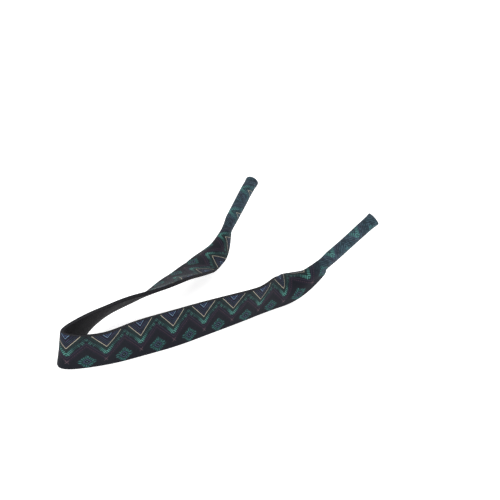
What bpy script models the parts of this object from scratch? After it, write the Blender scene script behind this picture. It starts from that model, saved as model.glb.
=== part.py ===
"""Neoprene eyeglass retainer strap, in the pose it takes with its sleeves held up at temple height.

The strap is one die-cut strip of laminate: a printed jersey face, a neoprene foam core and a jersey
lining. Each end is folded lengthwise at the middle of its width, and its two long edges are sewn
together, which makes a sleeve for an eyeglass temple. The back of the strap stands on its lower edge.
The strip is cut into five portions, back, two arms and two sleeves, that meet at its flexing lines.

Frame: metres, +Z up. The origin is under the middle of the strap's back, on the surface it rests on.
+Y runs from the back of the loop to the sleeve mouths, and +X is the wearer's right.
Flat coordinates: s along the strip from the middle of the back, negative to the left sleeve,
u across it from the middle of its width, positive to the upper edge, n out of the printed face.
"""
import math

import bmesh
import bpy
import numpy as np
from mathutils import Vector

MM = 0.001

# Driving dimensions of the flat laminate, in millimetres
BAND_WIDTH = 26.0
HALF_LENGTH = 276.0
NOTCH = 220.0
SLEEVE_HALF_AT_NOTCH = 9.2
SLEEVE_HALF_AT_HIP = 10.4
SLEEVE_HALF_AT_MOUTH = 9.6
SHOULDER_LENGTH = 5.0
HIP = 232.0
FABRIC_THICKNESS = 0.4
FOAM_THICKNESS = 1.4
LAYER_GAP = 0.3

# Where each layer's middle lies, along n
SKIN_OFFSET = FOAM_THICKNESS / 2 + LAYER_GAP + FABRIC_THICKNESS / 2
HALF_THICKNESS = SKIN_OFFSET + FABRIC_THICKNESS / 2
SKIN_INSET = 0.4

# The lengthwise fold: total angle, and the half length of the arc across the width
FOLD_START = 150.0
FOLD_AT_NOTCH = 200.0
FOLD_SHARPNESS = 1.6
FOLD_AT_MOUTH = 236.0
ARC_AT_START = 9.0
ARC_AT_NOTCH = 5.0
ARC_AT_MOUTH = 7.0

# Flexing lines: where they cross the strip, their gap, and half of the angle they turn each way
BACK_FLEX = 22.0
JOINT_GAP = 0.3
BACK_RELIEF = 17.0
SLEEVE_RELIEF = 14.0

# The strap's route, one row for each point: x, y, clearance under the lower edge, lean in degrees.
# The lean turns the upper edge outward from the loop; on the right it is the lean of the lower half.
# Where the strap leans, TWIST_ALLOWANCE keeps its lower corner just above the surface it stands on.
ROUTE = (
    (-63.0, 259.0, 62.0, -80.0),
    (-60.0, 249.0, 57.0, -80.0),
    (-53.0, 227.0, 45.0, -80.0),
    (-46.0, 205.0, 31.0, -88.0),
    (-38.0, 185.0, 19.0, -97.0),
    (-30.0, 161.0, 14.0, -92.0),
    (-22.0, 136.0, 13.0, -80.0),
    (-15.0, 112.0, 14.0, -68.0),
    (-14.0, 87.0, 10.0, -56.0),
    (-18.0, 63.0, 6.0, -46.0),
    (-13.0, 39.0, 4.0, -33.0),
    (-7.0, 17.0, 2.0, -14.0),
    (0.0, 0.0, 0.0, -5.3),
    (14.0, 11.0, 0.0, 9.0),
    (22.0, 35.0, 0.0, 1.0),
    (27.0, 60.0, 0.0, -8.0),
    (32.0, 85.0, 0.0, -6.0),
    (36.0, 110.0, 0.0, 1.0),
    (41.0, 135.0, 0.0, 9.0),
    (43.5, 161.0, 0.0, 13.0),
    (46.0, 186.0, 2.0, 12.0),
    (51.0, 206.0, 15.0, 17.0),
    (59.0, 228.0, 32.0, 43.0),
    (67.0, 250.0, 51.0, 54.0),
    (72.0, 263.0, 60.5, 56.0),
)
BACK_POINT = 12
BACK_OFFSET = 5.0
TWIST_ALLOWANCE = 0.15
ROUTE_STEPS = 60

# The overlocked seam that closes each sleeve
SEAM_MARGIN = 2.0
THREAD_RADIUS = 0.25
THREAD_CLEARANCE = 0.3
LOOPER_REACH = 2.0
NEEDLE_LINE = 2.9
STITCHES = 9

# Mesh density: the length of a row along the strip, by how far it is from the back's middle
BACK_ROW = 4.0
ARM_ROW = 8.0
FOLDING_ROW = 3.6
SLEEVE_ROW = 6.0
HALF_COLUMNS = 4


def natural_spline(knots, values, at):
    """Values at the parameters `at` of the natural cubic spline through (knots, values)."""
    count = len(knots)
    gaps = np.diff(knots)
    system = np.eye(count)
    right = np.zeros(count)
    slopes = np.diff(values) / gaps
    for i in range(1, count - 1):
        system[i, i - 1] = gaps[i - 1]
        system[i, i] = 2 * (gaps[i - 1] + gaps[i])
        system[i, i + 1] = gaps[i]
        right[i] = 6 * (slopes[i] - slopes[i - 1])
    bend = np.linalg.solve(system, right)
    k = np.clip(np.searchsorted(knots, at, side="right") - 1, 0, count - 2)
    gap = gaps[k]
    before = at - knots[k]
    after = knots[k + 1] - at
    curved = (bend[k] * after**3 + bend[k + 1] * before**3) / (6 * gap)
    linear_after = (values[k] / gap - bend[k] * gap / 6) * after
    linear_before = (values[k + 1] / gap - bend[k + 1] * gap / 6) * before
    return curved + linear_after + linear_before


def trace_route():
    """The centreline as arrays: arc length from the back's middle, points, and lean."""
    rows = np.array(ROUTE)
    chords = np.linalg.norm(np.diff(rows[:, :3], axis=0), axis=1)
    knots = np.concatenate([[0.0], np.cumsum(chords)])
    at = np.linspace(0.0, knots[-1], ROUTE_STEPS * len(rows) + 1)
    x, y, clearance, lean = (natural_spline(knots, rows[:, i], at) for i in range(4))
    lean_rad = np.radians(lean)
    corner = HALF_THICKNESS + TWIST_ALLOWANCE
    rest = BAND_WIDTH / 2 * np.abs(np.cos(lean_rad)) + corner * np.abs(np.sin(lean_rad))
    points = np.column_stack([x, y, np.maximum(clearance, 0.0) + rest])
    lengths = np.concatenate([[0.0], np.cumsum(np.linalg.norm(np.diff(points, axis=0), axis=1))])
    lengths -= np.interp(knots[BACK_POINT], at, lengths) + BACK_OFFSET
    for axis in (0, 1):
        points[:, axis] -= np.interp(0.0, lengths, points[:, axis])
    return lengths, points, lean


ARC_LENGTH, CENTRELINE, LEAN = trace_route()
TANGENT_STEP = 2.0
NORMAL_STEP = 0.5


def centre(s):
    """The point of the centreline at arc length s."""
    return np.array([np.interp(s, ARC_LENGTH, CENTRELINE[:, i]) for i in range(3)])


def fold_angle(s):
    """The total angle, in radians, that the section turns through at s."""
    reach = abs(s)
    if reach <= NOTCH:
        share = max(reach - FOLD_START, 0.0) / (NOTCH - FOLD_START)
        return math.radians(FOLD_AT_NOTCH * share**FOLD_SHARPNESS)
    share = min((reach - NOTCH) / (HALF_LENGTH - NOTCH), 1.0)
    return math.radians(FOLD_AT_NOTCH + (FOLD_AT_MOUTH - FOLD_AT_NOTCH) * share)


def arc_half(s):
    """The half length of the arc, across the width, in which the section turns at s."""
    stations = (FOLD_START, NOTCH, HALF_LENGTH)
    return float(np.interp(abs(s), stations, (ARC_AT_START, ARC_AT_NOTCH, ARC_AT_MOUTH)))


def half_width(s):
    """Half of the cut width at s: the band, its rounded shoulder, the sleeve's hip and its taper."""
    reach = abs(s)
    band = BAND_WIDTH / 2
    if reach <= NOTCH:
        rounding = max(reach - (NOTCH - SHOULDER_LENGTH), 0.0) / SHOULDER_LENGTH
        drop = band - SLEEVE_HALF_AT_NOTCH
        return band - drop * (1 - math.sqrt(max(1 - rounding**2, 0.0)))
    widths = (SLEEVE_HALF_AT_NOTCH, SLEEVE_HALF_AT_HIP, SLEEVE_HALF_AT_MOUTH)
    return float(np.interp(reach, (NOTCH, HIP, HALF_LENGTH), widths))


def section_frame(s):
    """The centre, the direction across the width and the outward normal at the middle of the section."""
    ahead = centre(s + TANGENT_STEP)
    behind = centre(s - TANGENT_STEP)
    tangent = (ahead - behind) / np.linalg.norm(ahead - behind)
    up = np.array([0.0, 0.0, 1.0])
    across = up - tangent * tangent[2]
    across /= np.linalg.norm(across)
    outward = np.cross(tangent, across)
    turn = math.radians(float(np.interp(s, ARC_LENGTH, LEAN)))
    if s > 0:
        turn -= fold_angle(s) / 2
    leaned = across * math.cos(turn) + outward * math.sin(turn)
    normal = outward * math.cos(turn) - across * math.sin(turn)
    return centre(s), leaned, normal


def section_offset(s, u):
    """Where the middle surface's (s, u) lies in its section: across, in from the fold, and its turn."""
    fold = fold_angle(s)
    arc = arc_half(s)
    share = min(max(u / arc, -1.0), 1.0)
    turned = fold / 2 * share
    straight = u - arc * share
    if fold < 1e-6:
        return u, 0.0, 0.0
    radius = 2 * arc / fold
    width = radius * math.sin(turned) + straight * math.cos(turned)
    depth = radius * (1 - math.cos(turned)) + straight * math.sin(turned)
    return width, depth, turned


def surface_point(s, u):
    """The point (s, u) of the strip's middle surface, in millimetres."""
    middle, leaned, normal = section_frame(s)
    width, depth, _ = section_offset(s, u)
    return middle + leaned * width - normal * depth


def place(s, u, n):
    """The flat point (s, u, n) on the bent and folded strap, in metres."""
    point = surface_point(s, u)
    along = surface_point(s + NORMAL_STEP, u) - surface_point(s - NORMAL_STEP, u)
    across = surface_point(s, u + NORMAL_STEP) - surface_point(s, u - NORMAL_STEP)
    normal = np.cross(along, across)
    return Vector(MM * (point + normal * (n / np.linalg.norm(normal))))


def cut_shift(cut, u, n):
    """How far a portion's end stays back from a flexing line, so that it can turn."""
    if abs(cut) >= HALF_LENGTH:
        return 0.0
    if abs(cut) < NOTCH:
        lean = math.radians(float(np.interp(cut, ARC_LENGTH, LEAN)))
        lever = abs(n) + FOAM_THICKNESS / 2 + abs(u * math.sin(lean))
        return JOINT_GAP / 2 + lever * math.tan(math.radians(BACK_RELIEF))
    width, _, turned = section_offset(cut, u)
    lever = abs(width) + HALF_THICKNESS * abs(math.sin(turned))
    return JOINT_GAP / 2 + lever * math.tan(math.radians(SLEEVE_RELIEF))


def new_material(name, colour, roughness):
    """A Principled material of one colour."""
    material = bpy.data.materials.new(name)
    material.use_nodes = True
    shader = material.node_tree.nodes["Principled BSDF"]
    shader.inputs["Base Color"].default_value = (*colour, 1.0)
    shader.inputs["Roughness"].default_value = roughness
    shader.inputs["Metallic"].default_value = 0.0
    return material


def add_object(name, data, joint, material, collection):
    """Link a new object whose origin is on its joint."""
    item = bpy.data.objects.new(name, data)
    item.data.materials.append(material)
    item.parent = joint
    collection.objects.link(item)
    return item


def row_stations(start, end):
    """Shares of a portion's length where its rows lie, closer together where it is bent or folding."""
    bounds = (-HALF_LENGTH, -NOTCH, -FOLD_START, -BACK_FLEX, BACK_FLEX, FOLD_START, NOTCH, HALF_LENGTH)
    lengths = (SLEEVE_ROW, FOLDING_ROW, ARM_ROW, BACK_ROW, ARM_ROW, FOLDING_ROW, SLEEVE_ROW)
    stations = [start]
    for low, high, length in zip(bounds, bounds[1:], lengths):
        low, high = max(low, start), min(high, end)
        if high - low > 0.1:
            stations.extend(np.linspace(low, high, round((high - low) / length) + 1)[1:])
    return (np.array(stations) - start) / (end - start)


def add_layer(name, start, end, offset, thickness, inset, joint, origin, material, collection):
    """One layer of one portion: a flat grid laid along the strap, then given its thickness."""
    shares = row_stations(start, end)
    rows = len(shares) - 1
    mesh = bpy.data.meshes.new(name)
    surface = bmesh.new()
    bmesh.ops.create_grid(surface, x_segments=rows, y_segments=2 * HALF_COLUMNS, size=1.0)
    for vertex in surface.verts:
        along = shares[round((vertex.co.x + 1) / 2 * rows)]
        column = round(vertex.co.y * HALF_COLUMNS)
        s = start + (end - start) * along
        arc = arc_half(s)
        edge = half_width(s) - inset
        u = edge if abs(column) == HALF_COLUMNS else arc * abs(column) / (HALF_COLUMNS - 1)
        u = math.copysign(u, column)
        first = start + cut_shift(start, u, offset)
        last = end - cut_shift(end, u, offset)
        s = first + (last - first) * along
        vertex.co = place(s, u, offset) - origin
    bmesh.ops.recalc_face_normals(surface, faces=surface.faces)
    surface.to_mesh(mesh)
    surface.free()
    layer = add_object(name, mesh, joint, material, collection)
    shell = layer.modifiers.new("thickness", "SOLIDIFY")
    shell.thickness = thickness * MM
    shell.offset = 0.0
    mesh.shade_smooth()
    return layer


def add_portion(name, start, end, joint, origin, materials, collection):
    """The printed face, foam core and lining of one portion."""
    layers = (
        ("printed_face", SKIN_OFFSET, FABRIC_THICKNESS, SKIN_INSET),
        ("foam_core", 0.0, FOAM_THICKNESS, 0.0),
        ("lining", -SKIN_OFFSET, FABRIC_THICKNESS, SKIN_INSET),
    )
    for layer, offset, thickness, inset in layers:
        add_layer(f"{name}_{layer}", start, end, offset, thickness, inset,
                  joint, origin, materials[layer], collection)


def add_thread(name, points, joint, origin, material, collection):
    """A thread as a thin tube through the points."""
    curve = bpy.data.curves.new(name, "CURVE")
    curve.dimensions = "3D"
    curve.bevel_depth = THREAD_RADIUS * MM
    curve.bevel_resolution = 0
    curve.use_fill_caps = True
    spline = curve.splines.new("POLY")
    spline.points.add(len(points) - 1)
    for point, position in zip(spline.points, points):
        point.co = (*(position - origin), 1.0)
    return add_object(name, curve, joint, material, collection)


def looper_points(side):
    """The looper thread's zigzag: over the sewn edges from one face of the sleeve to the other."""
    lift = HALF_THICKNESS + THREAD_CLEARANCE + THREAD_RADIUS
    beyond = THREAD_CLEARANCE + THREAD_RADIUS
    start = NOTCH + SEAM_MARGIN
    pitch = (HALF_LENGTH - SEAM_MARGIN - start) / (2 * STITCHES)
    points = []
    for stroke in range(2 * STITCHES):
        s = side * (start + pitch * stroke)
        turn = 1 if stroke % 2 == 0 else -1
        edge = half_width(s)
        points.append(place(s, -turn * (edge - LOOPER_REACH), lift))
        middle = s + side * pitch / 2
        points.append(place(middle, -turn * edge, lift))
        points.append(place(middle, -turn * (edge + beyond), HALF_THICKNESS))
        points.append(place(middle, turn * (edge + beyond), HALF_THICKNESS))
        points.append(place(middle, turn * edge, lift))
    return points


def needle_points(side):
    """The needle thread's line along the sleeve's face that carries the needle's stitches."""
    lift = HALF_THICKNESS + THREAD_CLEARANCE + THREAD_RADIUS
    stations = np.linspace(NOTCH + SEAM_MARGIN, HALF_LENGTH - SEAM_MARGIN, STITCHES + 1)
    return [place(side * s, side * (half_width(s) - NEEDLE_LINE), lift) for s in stations]


def add_joint(name, position, parent, parent_position, collection):
    """An empty on a flexing line."""
    joint = bpy.data.objects.new(name, None)
    joint.empty_display_size = 0.01
    joint.parent = parent
    joint.location = position - parent_position
    collection.objects.link(joint)
    return joint


def sleeve_flex_position(side):
    """The middle of the sleeve's section at the notch, which its flexing line passes through."""
    edge = half_width(NOTCH)
    top = place(side * NOTCH, 0.0, 0.0)
    seam = (place(side * NOTCH, -edge, 0.0) + place(side * NOTCH, edge, 0.0)) / 2
    return (top + seam) / 2


def build():
    """The whole strap."""
    for item in list(bpy.data.objects):
        bpy.data.objects.remove(item, do_unlink=True)
    collection = bpy.data.collections.new("eyeglass_retainer_strap")
    bpy.context.scene.collection.children.link(collection)
    materials = {
        "printed_face": new_material("printed_jersey", (0.020, 0.045, 0.055), 0.75),
        "foam_core": new_material("neoprene_foam", (0.012, 0.012, 0.014), 0.90),
        "lining": new_material("lining_jersey", (0.018, 0.017, 0.021), 0.85),
        "thread": new_material("seam_thread", (0.015, 0.017, 0.025), 0.60),
    }
    root = Vector((0.0, 0.0, 0.0))
    add_portion("back_band", -BACK_FLEX, BACK_FLEX, None, root, materials, collection)
    for side, label in ((-1, "left"), (1, "right")):
        flex = place(side * BACK_FLEX, 0.0, 0.0)
        flex_joint = add_joint(f"{label}_back_flex", flex, None, root, collection)
        arm = sorted((side * BACK_FLEX, side * NOTCH))
        add_portion(f"{label}_arm", *arm, flex_joint, flex, materials, collection)
        notch = sleeve_flex_position(side)
        notch_joint = add_joint(f"{label}_sleeve_flex", notch, flex_joint, flex, collection)
        sleeve = sorted((side * NOTCH, side * HALF_LENGTH))
        add_portion(f"{label}_sleeve", *sleeve, notch_joint, notch, materials, collection)
        add_thread(f"{label}_seam_looper_thread", looper_points(side), notch_joint, notch,
                   materials["thread"], collection)
        add_thread(f"{label}_seam_needle_thread", needle_points(side), notch_joint, notch,
                   materials["thread"], collection)


build()
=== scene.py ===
"""Looks of the eyeglass retainer strap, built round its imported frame.

The strap is shaped from its flat laminate: s runs along the strip from the middle of the back,
negative to the left sleeve, u runs across it, positive to the upper edge, and n runs out of the
printed face. Every mesh keeps s and u, in millimetres, and a level that is 1 on a layer's outer
side and 0 on its inner side. The print, the knit and the stitches are laid out in them.
"""
import math

import bpy
import numpy as np
from mathutils import Matrix, Vector


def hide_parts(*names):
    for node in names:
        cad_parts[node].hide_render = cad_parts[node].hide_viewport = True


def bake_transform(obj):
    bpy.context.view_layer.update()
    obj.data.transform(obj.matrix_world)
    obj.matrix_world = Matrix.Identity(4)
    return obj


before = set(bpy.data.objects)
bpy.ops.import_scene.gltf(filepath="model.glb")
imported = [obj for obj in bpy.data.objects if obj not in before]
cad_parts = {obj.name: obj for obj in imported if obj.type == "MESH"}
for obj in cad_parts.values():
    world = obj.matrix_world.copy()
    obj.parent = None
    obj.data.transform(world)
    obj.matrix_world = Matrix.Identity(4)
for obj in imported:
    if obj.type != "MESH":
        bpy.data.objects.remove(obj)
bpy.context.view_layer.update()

MM = 0.001

# The flat laminate, in millimetres, as in the CAD model
BAND_WIDTH = 26.0
HALF_LENGTH = 276.0
NOTCH = 220.0
SLEEVE_HALF_AT_NOTCH = 9.2
SLEEVE_HALF_AT_HIP = 10.4
SLEEVE_HALF_AT_MOUTH = 9.6
SHOULDER_LENGTH = 5.0
HIP = 232.0
HALF_THICKNESS = 1.4
FABRIC = 0.42

# The lengthwise fold of the ends, as in the CAD model
FOLD_START = 150.0
FOLD_AT_NOTCH = 200.0
FOLD_SHARPNESS = 1.6
FOLD_AT_MOUTH = 236.0
ARC_AT_START = 9.0
ARC_AT_NOTCH = 5.0
ARC_AT_MOUTH = 7.0

# The strap's route, as in the CAD model: x, y, clearance under the lower edge, lean in degrees
ROUTE = (
    (-63.0, 259.0, 62.0, -80.0),
    (-60.0, 249.0, 57.0, -80.0),
    (-53.0, 227.0, 45.0, -80.0),
    (-46.0, 205.0, 31.0, -88.0),
    (-38.0, 185.0, 19.0, -97.0),
    (-30.0, 161.0, 14.0, -92.0),
    (-22.0, 136.0, 13.0, -80.0),
    (-15.0, 112.0, 14.0, -68.0),
    (-14.0, 87.0, 10.0, -56.0),
    (-18.0, 63.0, 6.0, -46.0),
    (-13.0, 39.0, 4.0, -33.0),
    (-7.0, 17.0, 2.0, -14.0),
    (0.0, 0.0, 0.0, -5.3),
    (14.0, 11.0, 0.0, 9.0),
    (22.0, 35.0, 0.0, 1.0),
    (27.0, 60.0, 0.0, -8.0),
    (32.0, 85.0, 0.0, -6.0),
    (36.0, 110.0, 0.0, 1.0),
    (41.0, 135.0, 0.0, 9.0),
    (43.5, 161.0, 0.0, 13.0),
    (46.0, 186.0, 2.0, 12.0),
    (51.0, 206.0, 15.0, 17.0),
    (59.0, 228.0, 32.0, 43.0),
    (67.0, 250.0, 51.0, 54.0),
    (72.0, 263.0, 60.5, 56.0),
)
BACK_POINT = 12
BACK_OFFSET = 5.0
TWIST_ALLOWANCE = 0.15
ROUTE_STEPS = 60
TANGENT_STEP = 2.0
NORMAL_STEP = 0.5

# Where the laminate's pieces meet, along s
SPLITS = (-HALF_LENGTH, -110.0, 0.0, 110.0, HALF_LENGTH)

# The overlocked seam
SEAM_MARGIN = 2.0
STITCHES = 18
STITCH = (HALF_LENGTH - NOTCH - 2 * SEAM_MARGIN) / STITCHES
NEEDLE_LINE = 2.9
THREAD_RADIUS = 0.23


# ---------------------------------------------------------------- the strap's shape

def natural_spline(knots, values, at):
    """Values at the parameters `at` of the natural cubic spline through (knots, values)."""
    count = len(knots)
    gaps = np.diff(knots)
    system = np.eye(count)
    right = np.zeros(count)
    slopes = np.diff(values) / gaps
    for i in range(1, count - 1):
        system[i, i - 1] = gaps[i - 1]
        system[i, i] = 2 * (gaps[i - 1] + gaps[i])
        system[i, i + 1] = gaps[i]
        right[i] = 6 * (slopes[i] - slopes[i - 1])
    bend = np.linalg.solve(system, right)
    k = np.clip(np.searchsorted(knots, at, side="right") - 1, 0, count - 2)
    gap = gaps[k]
    before = at - knots[k]
    after = knots[k + 1] - at
    curved = (bend[k] * after**3 + bend[k + 1] * before**3) / (6 * gap)
    linear_after = (values[k] / gap - bend[k] * gap / 6) * after
    linear_before = (values[k + 1] / gap - bend[k + 1] * gap / 6) * before
    return curved + linear_after + linear_before


def trace_route():
    """The centreline as arrays: arc length from the back's middle, points, and lean."""
    rows = np.array(ROUTE)
    chords = np.linalg.norm(np.diff(rows[:, :3], axis=0), axis=1)
    knots = np.concatenate([[0.0], np.cumsum(chords)])
    at = np.linspace(0.0, knots[-1], ROUTE_STEPS * len(rows) + 1)
    x, y, clearance, lean = (natural_spline(knots, rows[:, i], at) for i in range(4))
    lean_rad = np.radians(lean)
    corner = HALF_THICKNESS + TWIST_ALLOWANCE
    rest = BAND_WIDTH / 2 * np.abs(np.cos(lean_rad)) + corner * np.abs(np.sin(lean_rad))
    points = np.column_stack([x, y, np.maximum(clearance, 0.0) + rest])
    lengths = np.concatenate([[0.0], np.cumsum(np.linalg.norm(np.diff(points, axis=0), axis=1))])
    lengths -= np.interp(knots[BACK_POINT], at, lengths) + BACK_OFFSET
    for axis in (0, 1):
        points[:, axis] -= np.interp(0.0, lengths, points[:, axis])
    return lengths, points, lean


ARC_LENGTH, CENTRELINE, LEAN = trace_route()


def unit(vectors):
    """The vectors at length one."""
    return vectors / np.linalg.norm(vectors, axis=-1, keepdims=True)


def smooth(t):
    """0 to 1 with flat ends."""
    t = np.clip(t, 0.0, 1.0)
    return t * t * (3 - 2 * t)


def centre(s):
    """Points of the centreline at arc lengths s."""
    return np.stack([np.interp(s, ARC_LENGTH, CENTRELINE[:, i]) for i in range(3)], axis=-1)


def fold_angle(s):
    """The total angle, in radians, that the section turns through at s."""
    reach = np.abs(s)
    share = np.clip((reach - FOLD_START) / (NOTCH - FOLD_START), 0.0, 1.0)
    beyond = np.clip((reach - NOTCH) / (HALF_LENGTH - NOTCH), 0.0, 1.0)
    return np.radians(FOLD_AT_NOTCH * share**FOLD_SHARPNESS + (FOLD_AT_MOUTH - FOLD_AT_NOTCH) * beyond)


def arc_half(s):
    """The half length of the arc, across the width, in which the section turns at s."""
    stations = (FOLD_START, NOTCH, HALF_LENGTH)
    return np.interp(np.abs(s), stations, (ARC_AT_START, ARC_AT_NOTCH, ARC_AT_MOUTH))


def half_width(s):
    """Half of the cut width at s: the band, its rounded shoulder, the sleeve's hip and its taper."""
    reach = np.abs(s)
    rounding = np.clip((reach - (NOTCH - SHOULDER_LENGTH)) / SHOULDER_LENGTH, 0.0, 1.0)
    band = BAND_WIDTH / 2
    shoulder = band - (band - SLEEVE_HALF_AT_NOTCH) * (1 - np.sqrt(1 - rounding**2))
    widths = (SLEEVE_HALF_AT_NOTCH, SLEEVE_HALF_AT_HIP, SLEEVE_HALF_AT_MOUTH)
    return np.where(reach <= NOTCH, shoulder, np.interp(reach, (NOTCH, HIP, HALF_LENGTH), widths))


def section_frame(s):
    """The centre, the direction across the width and the outward normal at the middle of the section."""
    tangent = unit(centre(s + TANGENT_STEP) - centre(s - TANGENT_STEP))
    up = np.array([0.0, 0.0, 1.0])
    across = unit(up - tangent * tangent[..., 2:3])
    outward = np.cross(tangent, across)
    turn = np.radians(np.interp(s, ARC_LENGTH, LEAN)) - np.where(s > 0, fold_angle(s) / 2, 0.0)
    cos, sin = np.cos(turn)[..., None], np.sin(turn)[..., None]
    return centre(s), across * cos + outward * sin, outward * cos - across * sin


def surface_point(s, u):
    """Points (s, u) of the strip's middle surface, in millimetres."""
    middle, leaned, normal = section_frame(s)
    fold = np.maximum(fold_angle(s), 1e-6)
    arc = arc_half(s)
    share = np.clip(u / arc, -1.0, 1.0)
    turned = fold / 2 * share
    straight = u - arc * share
    radius = 2 * arc / fold
    width = radius * np.sin(turned) + straight * np.cos(turned)
    depth = radius * (1 - np.cos(turned)) + straight * np.sin(turned)
    return middle + leaned * width[..., None] - normal * depth[..., None]


def place(s, u, n):
    """The flat points (s, u, n) on the bent and folded strap, in metres."""
    s, u, n = np.broadcast_arrays(np.asarray(s, float), u, n)
    along = surface_point(s + NORMAL_STEP, u) - surface_point(s - NORMAL_STEP, u)
    across = surface_point(s, u + NORMAL_STEP) - surface_point(s, u - NORMAL_STEP)
    return MM * (surface_point(s, u) + unit(np.cross(along, across)) * n[..., None])


# ---------------------------------------------------------------- the laminate's soft form

EDGE_ROUNDING = 1.1        # how far in from a cut edge the laminate is pressed thinner
EDGE_PRESS = 0.16
SEAM_REACH = 3.4           # how far in from a sewn edge the thread pinches it
SEAM_PINCH = 0.30
SEAM_PUFF = 0.27           # the lining swells inward until the two sewn edges touch
SCALLOP = 0.70             # the sewn edge bulges between the looper's turns
MOUTH_FLARE = 0.45
MOUTH_LENGTH = 4.0
EAR = 0.8                  # the seam's last stitches stand out past the edge
EAR_LENGTH = 5.0
EAR_RISE = 3.0
SEWN_START = 0.5           # the seam begins this far past the notch, and takes hold over SEWN_RISE
SEWN_RISE = 3.0
SWELL = 0.8                # the sleeve bulges round the temple tip's hollow, away from its seam
SWELL_REACH = 7.0
SWELL_START = 2.0
SWELL_RISE = 10.0
WAVE = 0.22                # slow unevenness of the soft strap


def sewn(s):
    """1 along the seam of a sleeve, 0 elsewhere."""
    return smooth((np.abs(s) - NOTCH - SEWN_START) / SEWN_RISE)


def between_turns(s):
    """1 between two turns of the looper over the edge, 0 under a turn."""
    phase = (np.abs(s) - NOTCH - SEAM_MARGIN) / STITCH
    return 0.5 + 0.5 * np.cos(2 * math.pi * phase)


def ear(s):
    """How far the end of the seam stands out past the edge at s."""
    return EAR * smooth((np.abs(s) - (HALF_LENGTH - EAR_LENGTH)) / EAR_RISE)


def cut_edge(s):
    """Half of the width at s with the seam's scallops and the ear at its end."""
    return half_width(s) + sewn(s) * SCALLOP * (between_turns(s) - 0.5) + ear(s)


def outer_level(s, u):
    """The height of the printed surface along n."""
    inward = cut_edge(s) - np.abs(u)
    pressed = EDGE_PRESS * smooth(1 - inward / EDGE_ROUNDING)
    pinched = SEAM_PINCH * sewn(s) * smooth(1 - inward / SEAM_REACH) * (1 - 0.6 * between_turns(s))
    flare = MOUTH_FLARE * smooth((np.abs(s) - (HALF_LENGTH - MOUTH_LENGTH)) / MOUTH_LENGTH)
    swell = SWELL * smooth((np.abs(s) - NOTCH - SWELL_START) / SWELL_RISE) * smooth(inward / SWELL_REACH)
    wave = WAVE * np.sin(s / 9.0 + 0.12 * u) * np.sin(s / 23.0 + u / 7.0 + 1.0)
    return HALF_THICKNESS - pressed - pinched + flare + swell + wave


def inner_level(s, u):
    """The height of the lining's surface along n."""
    inward = cut_edge(s) - np.abs(u)
    pressed = EDGE_PRESS * smooth(1 - inward / EDGE_ROUNDING)
    puffed = SEAM_PUFF * sewn(s) * smooth(1 - inward / SEAM_REACH)
    return outer_level(s, u) - 2 * HALF_THICKNESS + pressed - puffed


LAYERS = {
    # name: levels of its outer and inner surfaces, bulge of its cut side, inset of its side
    "printed_face": (outer_level, lambda s, u: outer_level(s, u) - FABRIC, 0.16, 0.0),
    "foam_core": (lambda s, u: outer_level(s, u) - FABRIC + 0.02,
                  lambda s, u: inner_level(s, u) + FABRIC - 0.02, 0.10, 0.12),
    "lining": (lambda s, u: inner_level(s, u) + FABRIC, inner_level, 0.16, 0.0),
}
COLUMNS = 28
SIDE_POINTS = 3
PLAIN_ROW = 1.5
SEWN_ROW = STITCH / 6


def row_stations(start, end):
    """Where a piece's rows lie along s, closer together on the sleeves."""
    bounds = (-HALF_LENGTH, -NOTCH + 3.0, NOTCH - 3.0, HALF_LENGTH)
    stations = [start]
    for low, high, length in zip(bounds, bounds[1:], (SEWN_ROW, PLAIN_ROW, SEWN_ROW)):
        low, high = max(low, start), min(high, end)
        if high - low > 0.1:
            stations.extend(np.linspace(low, high, round((high - low) / length) + 1)[1:])
    return np.array(stations)


def new_piece(name, vertices, faces, flat, material):
    """A smooth-shaded mesh object that keeps its flat coordinates in the attribute "flat"."""
    mesh = bpy.data.meshes.new(name)
    mesh.from_pydata(vertices, [], faces)
    mesh.attributes.new("flat", "FLOAT_VECTOR", "POINT")
    mesh.attributes["flat"].data.foreach_set("vector", np.asarray(flat, np.float32).ravel())
    mesh.materials.append(material)
    mesh.shade_smooth()
    mesh.set_sharp_from_angle(angle=math.radians(60))
    piece = bpy.data.objects.new(name, mesh)
    bpy.context.scene.collection.objects.link(piece)
    return piece


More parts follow.
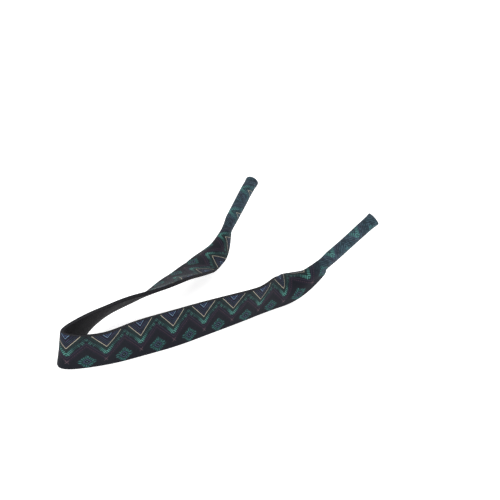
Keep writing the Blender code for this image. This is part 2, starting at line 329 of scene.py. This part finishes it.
def laminate_layer(name, start, end, layer, material):
    """One layer from start to end: a closed sheet with rounded cut sides and flat ends."""
    outer, inner, bulge, inset = LAYERS[layer]
    s = row_stations(start, end)[:, None]
    across = np.sin(np.linspace(-1, 1, COLUMNS + 1) * math.pi / 2)
    edge = cut_edge(s) - inset
    u = across * edge
    above, below = outer(s, u), inner(s, u)
    angle = np.linspace(0, math.pi, SIDE_POINTS + 2)[1:-1]
    sides = []
    for column, sign, turn in ((-1, 1, angle), (0, -1, angle[::-1])):
        middle = (above[:, column] + below[:, column]) / 2
        half = (above[:, column] - below[:, column]) / 2
        side_u = sign * (edge + bulge * np.sin(turn))
        level = np.broadcast_to((1 + np.cos(turn)) / 2, side_u.shape)
        sides.append((side_u, middle[:, None] + half[:, None] * np.cos(turn), level))
    loop_u = np.hstack([u, sides[0][0], u[:, ::-1], sides[1][0]])
    loop_n = np.hstack([above, sides[0][1], below[:, ::-1], sides[1][1]])
    loop_level = np.hstack([np.ones_like(u), sides[0][2], np.zeros_like(u), sides[1][2]])
    loop_s = np.broadcast_to(s, loop_u.shape)
    points = place(loop_s, loop_u, loop_n)
    rows, count = loop_u.shape
    faces = []
    for i in range(rows - 1):
        for k in range(count):
            following = (k + 1) % count
            near, far = i * count, (i + 1) * count
            faces.append((near + k, far + k, far + following, near + following))
    cap = []
    turned_at = COLUMNS + 1 + SIDE_POINTS
    for k in range(COLUMNS):
        opposite = turned_at + COLUMNS - k
        cap.append((k, k + 1, opposite - 1, opposite))
    cap.append(tuple(range(COLUMNS, turned_at + 1)))
    cap.append((*range(turned_at + COLUMNS, count), 0))
    last = (rows - 1) * count
    faces.extend(cap)
    faces.extend(tuple(last + k for k in reversed(face)) for face in cap)
    flat = np.stack([loop_s, loop_u, loop_level], axis=-1).reshape(-1, 3)
    return new_piece(name, points.reshape(-1, 3).tolist(), faces, flat, material)


# ---------------------------------------------------------------- threads

TUBE_SIDES = 8
PLY_PITCH = 1.1            # length of one turn of the thread's two plies
PLY_DEPTH = 0.16
SAMPLES = 7


def rounded_path(points):
    """A smooth curve through the points: Catmull-Rom, with SAMPLES steps a span."""
    padded = np.vstack([2 * points[0] - points[1], points, 2 * points[-1] - points[-2]])
    before, here, there, after = padded[:-3], padded[1:-2], padded[2:-1], padded[3:]
    spans = []
    for t in np.linspace(0, 1, SAMPLES, endpoint=False):
        spans.append(0.5 * (2 * here + (there - before) * t
                            + (2 * before - 5 * here + 4 * there - after) * t**2
                            + (3 * here - before - 3 * there + after) * t**3))
    curve = np.stack(spans, axis=1).reshape(-1, 3)
    return np.vstack([curve, points[-1]])


def thread_mesh(path, radius):
    """Vertices and faces of a two-ply twisted thread along the path, in metres."""
    forward = unit(np.gradient(path, axis=0))
    side = np.cross(forward[0], (0.0, 0.0, 1.0))
    sides = []
    for direction in forward:
        side = side - direction * np.dot(side, direction)
        side = side / np.linalg.norm(side)
        sides.append(side)
    sides = np.array(sides)
    ups = np.cross(forward, sides)
    run = np.concatenate([[0.0], np.cumsum(np.linalg.norm(np.diff(path, axis=0), axis=1))]) / MM
    angle = np.arange(TUBE_SIDES) * 2 * math.pi / TUBE_SIDES
    twist = 2 * math.pi * run[:, None] / PLY_PITCH
    reach = radius * MM * (1 - PLY_DEPTH + PLY_DEPTH * np.cos(2 * (angle[None, :] - twist)))
    ring = sides[:, None] * np.cos(angle)[None, :, None] + ups[:, None] * np.sin(angle)[None, :, None]
    points = (path[:, None] + ring * reach[..., None]).reshape(-1, 3)
    faces = []
    for i in range(len(path) - 1):
        for k in range(TUBE_SIDES):
            following = (k + 1) % TUBE_SIDES
            faces.append((i * TUBE_SIDES + k, i * TUBE_SIDES + following,
                          (i + 1) * TUBE_SIDES + following, (i + 1) * TUBE_SIDES + k))
    faces.append(tuple(reversed(range(TUBE_SIDES))))
    faces.append(tuple((len(path) - 1) * TUBE_SIDES + k for k in range(TUBE_SIDES)))
    flat = np.zeros((len(path), TUBE_SIDES, 3))
    flat[..., 0] = run[:, None]
    flat[..., 1] = angle[None, :]
    return points, faces, flat.reshape(-1, 3)


def thread_piece(name, knots, radius, material):
    """A thread through flat knots (s, u, height above the printed face)."""
    knots = np.array(knots)
    level = outer_level(knots[:, 0], knots[:, 1])
    path = rounded_path(place(knots[:, 0], knots[:, 1], level + knots[:, 2]))
    points, faces, flat = thread_mesh(path, radius)
    return new_piece(name, points.tolist(), faces, flat, material)


# One stitch of the looper: the share of a stitch along s, the distance in from the edge, and the height
LOOPER_TURN = (
    (-0.30, 1.7, 0.16),
    (0.0, NEEDLE_LINE, 0.12),
    (0.30, 1.7, 0.16),
    (0.44, 0.25, 0.10),
    (0.50, -0.28, -1.1),
    (0.56, 0.25, 0.10),
)
NEEDLE_INSET = 0.15        # the needle line lies this far outside the looper's turns
NEEDLE_DIP = -0.20
NEEDLE_RISE = 0.17


def looper_knots(side, face):
    """One looper thread: from the needle line over the cut edge and back, once a stitch."""
    knots = []
    for stitch in range(STITCHES + 1):
        s = NOTCH + SEAM_MARGIN + stitch * STITCH
        for step, inward, lift in LOOPER_TURN:
            at = s + step * STITCH
            if NOTCH + SEAM_MARGIN <= at <= HALF_LENGTH - SEAM_MARGIN:
                edge = half_width(at) + ear(at)
                knots.append((side * at, face * (edge - inward), lift))
    return knots


def needle_knots(side, face):
    """The needle thread: a row of straight stitches that dip into the fabric at each hole."""
    knots = []
    for step in range(2 * STITCHES + 1):
        at = NOTCH + SEAM_MARGIN + step * STITCH / 2
        lift = NEEDLE_DIP if step % 2 == 0 else NEEDLE_RISE
        knots.append((side * at, face * (half_width(at) - NEEDLE_LINE - NEEDLE_INSET), lift))
    return knots


# ---------------------------------------------------------------- materials

def srgb(red, green, blue):
    """A linear colour from 0 to 255 screen values."""
    linear = []
    for value in (red, green, blue):
        share = value / 255
        linear.append(share / 12.92 if share <= 0.04045 else ((share + 0.055) / 1.055) ** 2.4)
    return (*linear, 1.0)


class Graph:
    """A material's node tree, with short calls for the nodes used here."""

    def __init__(self, name):
        self.material = bpy.data.materials.new(name)
        self.material.use_nodes = True
        self.tree = self.material.node_tree
        self.shader = self.tree.nodes["Principled BSDF"]

    def feed(self, socket, value):
        """Link a socket, or set its value."""
        if isinstance(value, bpy.types.NodeSocket):
            self.tree.links.new(value, socket)
        else:
            socket.default_value = value

    def math(self, operation, *values):
        node = self.tree.nodes.new("ShaderNodeMath")
        node.operation = operation
        for socket, value in zip(node.inputs, values):
            self.feed(socket, value)
        return node.outputs[0]

    def add(self, a, b):
        return self.math("ADD", a, b)

    def subtract(self, a, b):
        return self.math("SUBTRACT", a, b)

    def times(self, a, b):
        return self.math("MULTIPLY", a, b)

    def ramp(self, value, low, high, start=0.0, end=1.0):
        """start below low, end above high, and smooth between."""
        node = self.tree.nodes.new("ShaderNodeMapRange")
        node.interpolation_type = "SMOOTHSTEP"
        for socket, number in zip(node.inputs, (value, low, high, start, end)):
            self.feed(socket, number)
        return node.outputs[0]

    def line(self, distance, half, soft=0.14):
        """1 within half of zero distance."""
        return self.ramp(self.math("ABSOLUTE", distance), half, half + soft, 1.0, 0.0)

    def between(self, value, low, high, soft=0.2):
        """1 where value lies from low to high."""
        return self.times(self.ramp(value, low - soft, low), self.ramp(value, high, high + soft, 1.0, 0.0))

    def mix(self, share, below, above):
        node = self.tree.nodes.new("ShaderNodeMix")
        node.data_type = "RGBA"
        for socket, value in zip((node.inputs[0], node.inputs[6], node.inputs[7]), (share, below, above)):
            self.feed(socket, value)
        return node.outputs[2]

    def noise(self, vector, scale, detail=2.0):
        """Noise from 0 to 1."""
        node = self.tree.nodes.new("ShaderNodeTexNoise")
        self.feed(node.inputs["Vector"], vector)
        self.feed(node.inputs["Scale"], scale)
        self.feed(node.inputs["Detail"], detail)
        return node.outputs["Fac"]

    def flat(self):
        """The mesh's flat coordinates: the vector and its s, u and level."""
        node = self.tree.nodes.new("ShaderNodeAttribute")
        node.attribute_name = "flat"
        parts = self.tree.nodes.new("ShaderNodeSeparateXYZ")
        self.tree.links.new(node.outputs["Vector"], parts.inputs[0])
        return node.outputs["Vector"], *parts.outputs

    def bump(self, height, strength, distance, under=None):
        node = self.tree.nodes.new("ShaderNodeBump")
        self.feed(node.inputs["Strength"], strength)
        self.feed(node.inputs["Distance"], distance)
        self.feed(node.inputs["Height"], height)
        if under is not None:
            self.feed(node.inputs["Normal"], under)
        return node.outputs[0]

    def finish(self, **sockets):
        """Set or link the shader's sockets, named with underscores for spaces."""
        for name, value in sockets.items():
            self.feed(self.shader.inputs[name.replace("_", " ")], value)
        return self.material


def knit_height(g, s, u, wale, course):
    """Height of a jersey knit: wales along s, with slanted stitches."""
    rib = g.math("ABSOLUTE", g.math("SINE", g.times(u, math.pi / wale)))
    slant = g.times(g.math("PINGPONG", u, wale / 2), 0.8)
    loop = g.math("SINE", g.times(g.add(s, slant), 2 * math.pi / course))
    return g.add(g.times(rib, 0.6), g.times(loop, 0.25))


# The dyes of the print; a pair is mottled from the first to the second
GROUND_DYE = (srgb(5, 8, 15), srgb(16, 19, 31))
PLUM_DYE = srgb(27, 21, 37)
PLUM_LINE_DYE = srgb(78, 68, 92)
PLUM_DASH_DYE = srgb(100, 68, 80)
HATCH_DYE = srgb(28, 58, 52)
BRUSH_DYE = (srgb(34, 84, 82), srgb(78, 138, 128))
TRIANGLE_DYE = (srgb(4, 6, 15), srgb(10, 14, 30))
NESTED_LINES = (
    # how far each outline lies inside the triangle, and its dye
    (1.15, srgb(74, 82, 112)),
    (2.2, srgb(60, 88, 104)),
    (3.3, srgb(84, 80, 122)),
)
CHEVRON_DYE = srgb(104, 130, 158)
INNER_CHEVRON_DYE = srgb(62, 78, 118)
OUTLINE_DYE = srgb(172, 166, 150)
DIAMOND_DYE = srgb(54, 114, 110)
INNER_DIAMOND_DYE = srgb(76, 98, 124)
SPOT_DYE = srgb(82, 132, 130)
CROSS_DYE = srgb(124, 100, 106)
STRETCHED_DYE = srgb(80, 112, 126)
GRAIN_DYE = srgb(17, 20, 26)
# painted highlight: the pale line where the mouth's cut edge catches the light
MOUTH_EDGE_HIGHLIGHT = srgb(150, 162, 168)
CUT_SIDE = srgb(24, 24, 30)

# The print, in millimetres of the flat strap; depth is measured from the upper edge
REPEAT = 25.6
LEFT_DRIFT = 5.0           # the print lies this much nearer the mouth on the left end
TRIANGLE_DEPTH = 10.4
TRIANGLE_SLOPE = 1.11
BAND_TOP = 13.0
BAND_SLOPE = 0.98
BAND_HEIGHT = 3.4
STROKE = 1.25
MOTIF_DEPTH = 20.6
DIAMOND_HALF_HEIGHT = 5.9
DIAMOND_SLOPE = 0.83
RAY = 0.20                 # half of the angle between two of a diamond's strokes, in radians


def printed_jersey():
    """The printed face: zigzags, triangles and diamonds in brush strokes on near-black navy."""
    g = Graph("printed_jersey")
    where, s, u, level = g.flat()
    wobble = g.times(g.subtract(g.noise(where, 0.9), 0.5), 0.55)
    drift = g.ramp(s, -220.0, -110.0, LEFT_DRIFT, 0.0)
    s_drawn = g.add(g.add(s, drift), wobble)
    depth = g.add(g.subtract(BAND_WIDTH / 2, u), g.times(g.subtract(g.noise(where, 1.3), 0.5), 0.5))
    tip = g.math("PINGPONG", s_drawn, REPEAT / 2)            # distance along s from a triangle's tip
    peak = g.subtract(REPEAT / 2, tip)                       # distance along s from a diamond's centre
    along = g.subtract(tip, g.times(depth, BAND_SLOPE))
    run = g.times(along, 1 / math.hypot(1, BAND_SLOPE))      # distance along the zigzag
    dice = g.tree.nodes.new("ShaderNodeTexWhiteNoise")
    dice.noise_dimensions = "1D"
    g.feed(dice.inputs["W"], g.math("FLOOR", g.times(run, 1 / STROKE)))
    chance = dice.outputs["Value"]                           # a random share for each brush stroke
    stroke = g.ramp(g.math("PINGPONG", run, STROKE / 2), 0.16, 0.40)
    mottle = g.noise(where, 1.1, 4.0)

    ground = g.mix(mottle, *GROUND_DYE)
    triangle = g.times(g.subtract(g.add(depth, g.times(tip, TRIANGLE_SLOPE)), TRIANGLE_DEPTH),
                       1 / math.hypot(1, TRIANGLE_SLOPE))
    zigzag = g.subtract(depth, g.subtract(BAND_TOP, g.times(tip, BAND_SLOPE)))

    # The dark plum field between the zigzag and the diamonds, with its fine lines
    plum = g.between(zigzag, 4.6, 8.6, 0.8)
    colour = g.mix(g.times(plum, 0.5), ground, PLUM_DYE)
    colour = g.mix(g.times(g.line(g.subtract(zigzag, 5.0), 0.08), 0.5), colour, PLUM_LINE_DYE)
    dash = g.ramp(g.math("PINGPONG", s, 0.55), 0.18, 0.32)
    colour = g.mix(g.times(g.times(g.line(g.subtract(zigzag, 7.2), 0.12), dash), 0.5),
                   colour, PLUM_DASH_DYE)

    # The dim green band along each triangle
    hatch = g.times(g.between(triangle, 0.75, 1.9, 0.35), g.ramp(stroke, 0.0, 1.0, 0.3, 1.0))
    colour = g.mix(g.times(hatch, 0.5), colour, HATCH_DYE)

    # The bright zigzag of brush strokes
    ragged = g.add(BAND_HEIGHT - 0.6, g.times(chance, 1.5))
    lower = g.ramp(g.subtract(zigzag, ragged), -0.25, 0.15, 1.0, 0.0)
    upper = g.ramp(g.subtract(zigzag, g.times(chance, 0.9)), -0.25, 0.15)
    strength = g.add(g.ramp(tip, 0.5, 6.5, 1.05, 0.38), g.times(g.subtract(mottle, 0.5), 0.7))
    brush = g.times(g.times(g.times(lower, upper), g.ramp(stroke, 0.0, 1.0, 0.05, 1.0)), strength)
    colour = g.mix(brush, colour, g.mix(chance, *BRUSH_DYE))

    # The triangles: navy, with nested dotted outlines and a small chevron at the edge
    inside = g.ramp(triangle, -0.2, 0.1, 1.0, 0.0)
    colour = g.mix(inside, colour, g.mix(mottle, *TRIANGLE_DYE))
    dots = g.ramp(g.math("PINGPONG", g.add(depth, s), 0.36), 0.10, 0.26)
    for inset, dye in NESTED_LINES:
        mark = g.times(g.line(g.add(triangle, inset), 0.11), dots)
        colour = g.mix(g.times(mark, g.times(inside, 0.75)), colour, dye)
    chevron = g.subtract(g.add(depth, g.times(tip, TRIANGLE_SLOPE)), 3.0)
    colour = g.mix(g.times(g.line(chevron, 0.26), 0.8), colour, CHEVRON_DYE)
    colour = g.mix(g.times(g.line(g.add(chevron, 1.8), 0.3), 0.7), colour, INNER_CHEVRON_DYE)
    colour = g.mix(g.line(triangle, 0.10, 0.16), colour, OUTLINE_DYE)

    # The diamonds along the lower edge, drawn in strokes that fan out from the centre
    off_centre = g.math("ABSOLUTE", g.subtract(depth, MOTIF_DEPTH))
    diamond = g.add(g.times(peak, DIAMOND_SLOPE), off_centre)
    angle = g.math("ARCTAN2", off_centre, peak)
    ray = g.ramp(g.math("PINGPONG", angle, RAY), 0.05, 0.13)
    ragged_end = g.ramp(g.subtract(diamond, g.times(mottle, 1.6)), DIAMOND_HALF_HEIGHT - 1.4,
                        DIAMOND_HALF_HEIGHT - 0.9, 1.0, 0.0)
    body = g.times(g.times(ragged_end, g.ramp(diamond, 2.9, 3.3)), g.ramp(ray, 0.0, 1.0, 0.1, 1.0))
    colour = g.mix(g.times(body, g.ramp(mottle, 0.35, 0.65, 0.15, 0.9)), colour, DIAMOND_DYE)
    colour = g.mix(g.times(g.line(g.subtract(diamond, 2.1), 0.16), 0.7), colour, INNER_DIAMOND_DYE)
    colour = g.mix(g.line(diamond, 0.30), colour, SPOT_DYE)

    # The crosses between the diamonds
    cross = g.subtract(tip, off_centre)
    near = g.ramp(g.add(tip, off_centre), 2.2, 2.7, 1.0, 0.0)
    colour = g.mix(g.times(g.times(g.line(cross, 0.10), near), 0.55), colour, CROSS_DYE)

    # Knit ribs show through, most where the sleeves are stretched
    reach = g.math("ABSOLUTE", s)
    stretched = g.ramp(reach, 204.0, 232.0)
    ribs = g.ramp(g.math("PINGPONG", zigzag, 0.8), 0.15, 0.65)
    patches = g.ramp(g.noise(where, 0.5, 3.0), 0.3, 0.7)
    veil = g.times(stretched, g.add(g.times(g.times(ribs, patches), 0.55), 0.12))
    colour = g.mix(veil, colour, STRETCHED_DYE)
    grain = g.noise(where, 3.2, 3.0)
    colour = g.mix(g.ramp(grain, 0.35, 0.75, 0.0, 0.30), colour, GRAIN_DYE)

    # A pale painted highlight along the mouth's raw end, where the cut edge catches the light, and the cut
    # sides are dark
    end = g.ramp(reach, HALF_LENGTH - 0.45, HALF_LENGTH - 0.1)
    colour = g.mix(g.times(end, 0.6), colour, MOUTH_EDGE_HIGHLIGHT)
    colour = g.mix(g.ramp(level, 0.86, 0.98, 1.0, 0.0), colour, CUT_SIDE)

    knit = g.bump(knit_height(g, s, u, 0.55, 0.50), 0.55, 0.00012)
    soft = g.bump(g.noise(where, 0.35, 3.0), 0.35, 0.0005, knit)
    rough = g.ramp(brush, 0.0, 1.0, 0.80, 0.70)
    return g.finish(Base_Color=colour, Roughness=rough, Normal=soft, Specular_IOR_Level=0.22,
                    Sheen_Weight=0.03, Sheen_Roughness=0.45, Sheen_Tint=srgb(150, 170, 190))


def lining_jersey():
    """The plain charcoal lining."""
    g = Graph("lining_jersey")
    where, s, u, _ = g.flat()
    colour = g.mix(g.noise(where, 0.8, 4.0), srgb(9, 8, 12), srgb(18, 16, 22))
    ribs = g.ramp(g.math("PINGPONG", u, 0.3), 0.0, 0.3)
    colour = g.mix(g.times(ribs, 0.35), colour, srgb(9, 9, 12))
    knit = g.bump(knit_height(g, s, u, 0.6, 0.55), 0.6, 0.00014)
    soft = g.bump(g.noise(where, 0.3, 3.0), 0.4, 0.0005, knit)
    return g.finish(Base_Color=colour, Roughness=0.86, Normal=soft, Specular_IOR_Level=0.2,
                    Sheen_Weight=0.04, Sheen_Roughness=0.5, Sheen_Tint=srgb(130, 130, 145))


def neoprene_foam():
    """Black closed-cell foam, seen at the cut edges."""
    g = Graph("neoprene_foam")
    where, *_ = g.flat()
    cells = g.tree.nodes.new("ShaderNodeTexVoronoi")
    g.feed(cells.inputs["Vector"], where)
    g.feed(cells.inputs["Scale"], 5.0)
    pores = cells.outputs["Distance"]
    colour = g.mix(g.ramp(pores, 0.1, 0.6), srgb(14, 14, 16), srgb(40, 40, 44))
    cut = g.bump(pores, 0.5, 0.00012)
    return g.finish(Base_Color=colour, Roughness=0.92, Normal=cut, Specular_IOR_Level=0.2)


def seam_thread():
    """Dark filament thread with a slight lustre."""
    g = Graph("seam_thread")
    where, *_ = g.flat()
    fibres = g.noise(where, 6.0, 3.0)
    colour = g.mix(fibres, srgb(34, 42, 54), srgb(66, 78, 92))
    return g.finish(Base_Color=colour, Roughness=0.55, Normal=g.bump(fibres, 0.3, 0.00005),
                    Specular_IOR_Level=0.4, Sheen_Weight=0.1)


def floor_material():
    """Matt white paper, lit from behind so that shadows on it stay faint."""
    material = bpy.data.materials.new("pale_floor")
    material.use_nodes = True
    shader = material.node_tree.nodes["Principled BSDF"]
    shader.inputs["Base Color"].default_value = (0.93, 0.93, 0.93, 1.0)
    shader.inputs["Roughness"].default_value = 0.9
    shader.inputs["Specular IOR Level"].default_value = 0.1
    shader.inputs["Emission Color"].default_value = (1.0, 1.0, 1.0, 1.0)
    shader.inputs["Emission Strength"].default_value = 0.6
    return material


# ---------------------------------------------------------------- pieces on the frame

LAMINATE_SLOTS = {"printed_face": "printed_jersey", "foam_core": "neoprene_foam", "lining": "lining_jersey"}
PIECES = {
    # name: start and end along s, and the two bodies it joins
    "left_end": (SPLITS[0], SPLITS[1], "left_arm", "left_sleeve"),
    "left_back": (SPLITS[1], SPLITS[2], "back_band", "left_arm"),
    "right_back": (SPLITS[2], SPLITS[3], "back_band", "right_arm"),
    "right_end": (SPLITS[3], SPLITS[4], "right_arm", "right_sleeve"),
}


def flex_across(piece):
    """Bake a piece's placement into its mesh."""
    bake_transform(piece)


def build_laminate(materials):
    """The printed face, foam and lining of the four stretches of strap."""
    for label, (start, end, first, second) in PIECES.items():
        for layer, slot in LAMINATE_SLOTS.items():
            piece = laminate_layer(f"{label}_{layer}", start, end, layer, materials[slot])
            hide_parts(f"{first}_{layer}", f"{second}_{layer}")
            flex_across(piece)


def build_seams(materials):
    """The overlock threads along both sleeves."""
    for side, label in ((-1, "left"), (1, "right")):
        for face, where in ((1, "upper"), (-1, "lower")):
            looper = thread_piece(f"{label}_{where}_looper_thread", looper_knots(side, face),
                                  THREAD_RADIUS, materials["seam_thread"])
            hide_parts(f"{label}_seam_looper_thread")
            needle = thread_piece(f"{label}_{where}_needle_thread", needle_knots(side, face),
                                  THREAD_RADIUS, materials["seam_thread"])
            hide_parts(f"{label}_seam_needle_thread")
            for thread in (looper, needle):
                flex_across(thread)


# ---------------------------------------------------------------- stage, light and camera

CAMERA_LENS = 60.0
CAMERA_AZIMUTH = 41.1
CAMERA_ELEVATION = 23.75
CAMERA_ROLL = 2.99
CAMERA_DISTANCE = 0.7416
LIGHT_AIM = (0.0, 0.12, 0.02)
FLOOR_SIZE = 6.0
CAMERA_TARGET = (-0.0501, 0.2340, 0.0)


def add_camera():
    """The camera, rolled a little about its own axis."""
    azimuth, elevation, roll = (math.radians(a) for a in (CAMERA_AZIMUTH, CAMERA_ELEVATION, CAMERA_ROLL))
    back = Vector((math.sin(azimuth) * math.cos(elevation), -math.cos(azimuth) * math.cos(elevation),
                   math.sin(elevation)))
    level = Vector((math.cos(azimuth), math.sin(azimuth), 0.0))
    upright = back.cross(level)
    right = level * math.cos(roll) + upright * math.sin(roll)
    up = upright * math.cos(roll) - level * math.sin(roll)
    camera = bpy.data.objects.new("camera", bpy.data.cameras.new("camera"))
    camera.data.lens = CAMERA_LENS
    camera.data.sensor_width = 36.0
    camera.data.clip_start = 0.01
    camera.matrix_world = Matrix.Translation(Vector(CAMERA_TARGET) + back * CAMERA_DISTANCE) @ Matrix(
        (right, up, back)).transposed().to_4x4()
    bpy.context.scene.collection.objects.link(camera)
    bpy.context.scene.camera = camera


def add_area_light(name, position, size, power):
    """A soft light that faces the middle of the strap."""
    data = bpy.data.lights.new(name, "AREA")
    data.size = size
    data.energy = power
    light = bpy.data.objects.new(name, data)
    light.location = position
    aim = Vector(LIGHT_AIM) - light.location
    light.rotation_euler = aim.to_track_quat("-Z", "Y").to_euler()
    bpy.context.scene.collection.objects.link(light)


def add_stage():
    """The pale floor, the white surroundings and the studio lights."""
    bpy.ops.mesh.primitive_plane_add(size=FLOOR_SIZE, location=(0.0, 0.0, 0.0))
    floor = bpy.context.object
    floor.name = "floor"
    floor.data.materials.append(floor_material())
    world = bpy.data.worlds.new("studio")
    world.use_nodes = True
    world.node_tree.nodes["Background"].inputs["Color"].default_value = (1.0, 1.0, 1.0, 1.0)
    world.node_tree.nodes["Background"].inputs["Strength"].default_value = 1.0
    bpy.context.scene.world = world
    add_area_light("key_light", (0.7, -0.6, 1.1), 1.2, 4.0)
    add_area_light("fill_light", (-0.9, -0.2, 0.9), 1.4, 2.0)
    bpy.context.scene.view_settings.view_transform = "Standard"


add_camera()
add_stage()
finishes = {
    "printed_jersey": printed_jersey(),
    "neoprene_foam": neoprene_foam(),
    "lining_jersey": lining_jersey(),
    "seam_thread": seam_thread(),
}
build_laminate(finishes)
build_seams(finishes)
